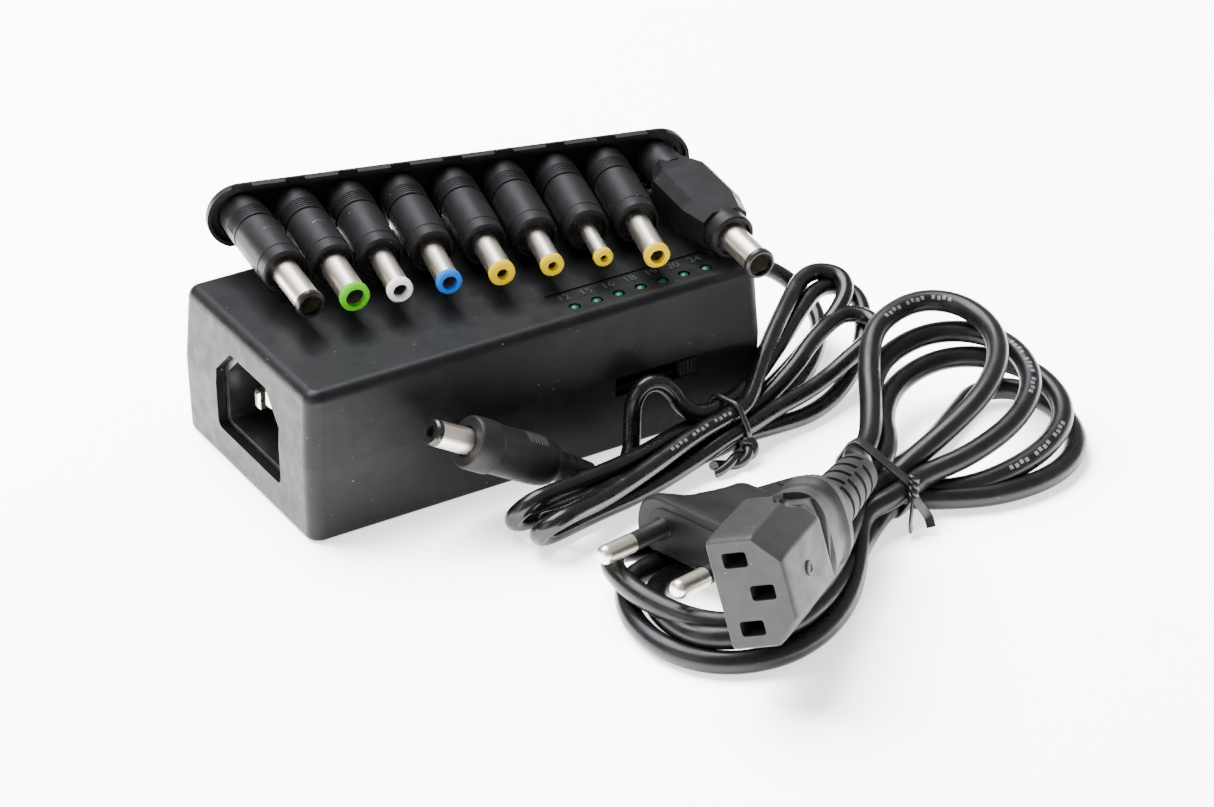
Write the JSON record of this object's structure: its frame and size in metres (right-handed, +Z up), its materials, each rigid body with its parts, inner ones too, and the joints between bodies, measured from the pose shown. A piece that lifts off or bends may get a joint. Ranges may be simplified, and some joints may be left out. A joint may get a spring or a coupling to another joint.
{
  "type": "laptop power adapter",
  "caption": "Universal laptop power adapter brick with mains inlet, voltage selector and indicator lamps, output lead, strip of interchangeable tips and mains lead.",
  "frame": {"origin": "centre of the underside of the brick, on the surface that it stands on", "axes": "+X along the brick from the mains inlet to the output lead, -Y out of the front face with the voltage selector, +Z up"},
  "size_m": [0.1635, 0.1658, 0.0498],
  "materials": {
    "housing": "finely textured black",
    "screw_steel": "zinc plated",
    "inlet_plastic": "satin black",
    "blade_nickel": "nickel plated",
    "board": "green solder mask",
    "fuse_ceramic": "white ceramic",
    "ferrite": "dark ferrite with copper winding",
    "film_box": "yellow",
    "capacitor_sleeve": "shrink sleeve",
    "winding_tape": "yellow polyester tape",
    "heat_sink_aluminium": "plain",
    "led_green": "green lens",
    "switch_plastic": "black",
    "knob_plastic": "black ribbed",
    "cord_rubber": "black",
    "plug_rubber": "matt dark grey",
    "barrel_nickel": "nickel plated",
    "ring_black": "black",
    "ring_green": "green",
    "ring_white": "white",
    "ring_blue": "blue",
    "ring_yellow": "yellow",
    "dc_cord_jacket": "smooth PVC, black",
    "mains_cord_jacket": "satin PVC, black",
    "tie_plastic": "black coated wire",
    "holder_plastic": "black",
    "tip_plastic": "matt black",
    "connector_rubber": "matt grey",
    "contact_brass": "plain"
  },
  "bodies": {
    "adapter": {"bottom_shell": "housing", "circuit_board": "board", "common_mode_choke": "ferrite", "dc_cord_end": "dc_cord_jacket", "dc_cord_hank": "dc_cord_jacket", "dc_cord_start": "dc_cord_jacket", "dc_cord_tie": "tie_plastic", "dc_plug_barrel": "barrel_nickel", "dc_plug_body": "plug_rubber", "dc_plug_tip": "ring_black", "electrolytic_capacitors": "capacitor_sleeve", "heat_sinks": "heat_sink_aluminium", "housing_screws": "screw_steel", "indicator_leds": "led_green", "inlet_blades": "blade_nickel", "inlet_body": "inlet_plastic", "led_board": "board", "line_capacitor": "film_box", "mains_fuse": "fuse_ceramic", "output_strain_relief": "cord_rubber", "power_transformer": "winding_tape", "selector_switch": "switch_plastic", "top_shell": "housing"},
    "selector": {"selector_knob": "knob_plastic"},
    "holder": {"tip_holder": "holder_plastic"},
    "mains_lead": {"socket_body": "connector_rubber", "socket_contacts": "contact_brass", "plug_body": "connector_rubber", "plug_pins": "barrel_nickel", "mains_cord_hank": "mains_cord_jacket", "mains_cord_start": "mains_cord_jacket", "mains_cord_end": "mains_cord_jacket", "mains_cord_tie": "tie_plastic"},
    "tip_1": {"tip_1_body": "tip_plastic", "tip_1_barrel": "barrel_nickel", "tip_1_ring": "ring_black"},
    "tip_2": {"tip_2_body": "tip_plastic", "tip_2_barrel": "barrel_nickel", "tip_2_ring": "ring_green"},
    "tip_3": {"tip_3_body": "tip_plastic", "tip_3_barrel": "barrel_nickel", "tip_3_ring": "ring_white"},
    "tip_4": {"tip_4_body": "tip_plastic", "tip_4_barrel": "barrel_nickel", "tip_4_ring": "ring_blue"},
    "tip_5": {"tip_5_body": "tip_plastic", "tip_5_barrel": "barrel_nickel", "tip_5_ring": "ring_yellow"},
    "tip_6": {"tip_6_body": "tip_plastic", "tip_6_barrel": "barrel_nickel", "tip_6_ring": "ring_yellow"},
    "tip_7": {"tip_7_body": "tip_plastic", "tip_7_barrel": "barrel_nickel", "tip_7_ring": "ring_yellow"},
    "tip_8": {"tip_8_body": "tip_plastic", "tip_8_barrel": "barrel_nickel", "tip_8_ring": "ring_yellow"},
    "tip_9": {"tip_9_body": "tip_plastic", "tip_9_barrel": "barrel_nickel", "tip_9_ring": "ring_black"}
  },
  "joints": [
    {"name": "selector_slide", "type": "slide", "parent": "adapter", "child": "selector", "axis": [-1, 0, 0], "range_m": [0, 0.0156]},
    {"name": "holder_lift", "type": "slide", "parent": "adapter", "child": "holder", "axis": [0, 0, 1], "range_m": [0, 0.05]},
    {"name": "mains_lead_away", "type": "slide", "parent": "adapter", "child": "mains_lead", "axis": [0.5, -0.866, 0], "range_m": [0, 0.06]},
    {"name": "tip_1_pull", "type": "slide", "parent": "holder", "child": "tip_1", "axis": [-0.1084, -0.9927, -0.0537], "range_m": [0, 0.005]},
    {"name": "tip_2_pull", "type": "slide", "parent": "holder", "child": "tip_2", "axis": [-0.1586, -0.9859, -0.0533], "range_m": [0, 0.005]},
    {"name": "tip_3_pull", "type": "slide", "parent": "holder", "child": "tip_3", "axis": [-0.2066, -0.977, -0.0527], "range_m": [0, 0.005]},
    {"name": "tip_4_pull", "type": "slide", "parent": "holder", "child": "tip_4", "axis": [-0.2287, -0.9721, -0.0524], "range_m": [0, 0.005]},
    {"name": "tip_5_pull", "type": "slide", "parent": "holder", "child": "tip_5", "axis": [-0.227, -0.9725, -0.0525], "range_m": [0, 0.005]},
    {"name": "tip_6_pull", "type": "slide", "parent": "holder", "child": "tip_6", "axis": [-0.2389, -0.9696, -0.0523], "range_m": [0, 0.005]},
    {"name": "tip_7_pull", "type": "slide", "parent": "holder", "child": "tip_7", "axis": [-0.2457, -0.9679, -0.0522], "range_m": [0, 0.005]},
    {"name": "tip_8_pull", "type": "slide", "parent": "holder", "child": "tip_8", "axis": [-0.2558, -0.9653, -0.052], "range_m": [0, 0.005]},
    {"name": "tip_9_pull", "type": "slide", "parent": "holder", "child": "tip_9", "axis": [-0.0806, -0.9953, -0.0539], "range_m": [0, 0.005]}
  ]
}
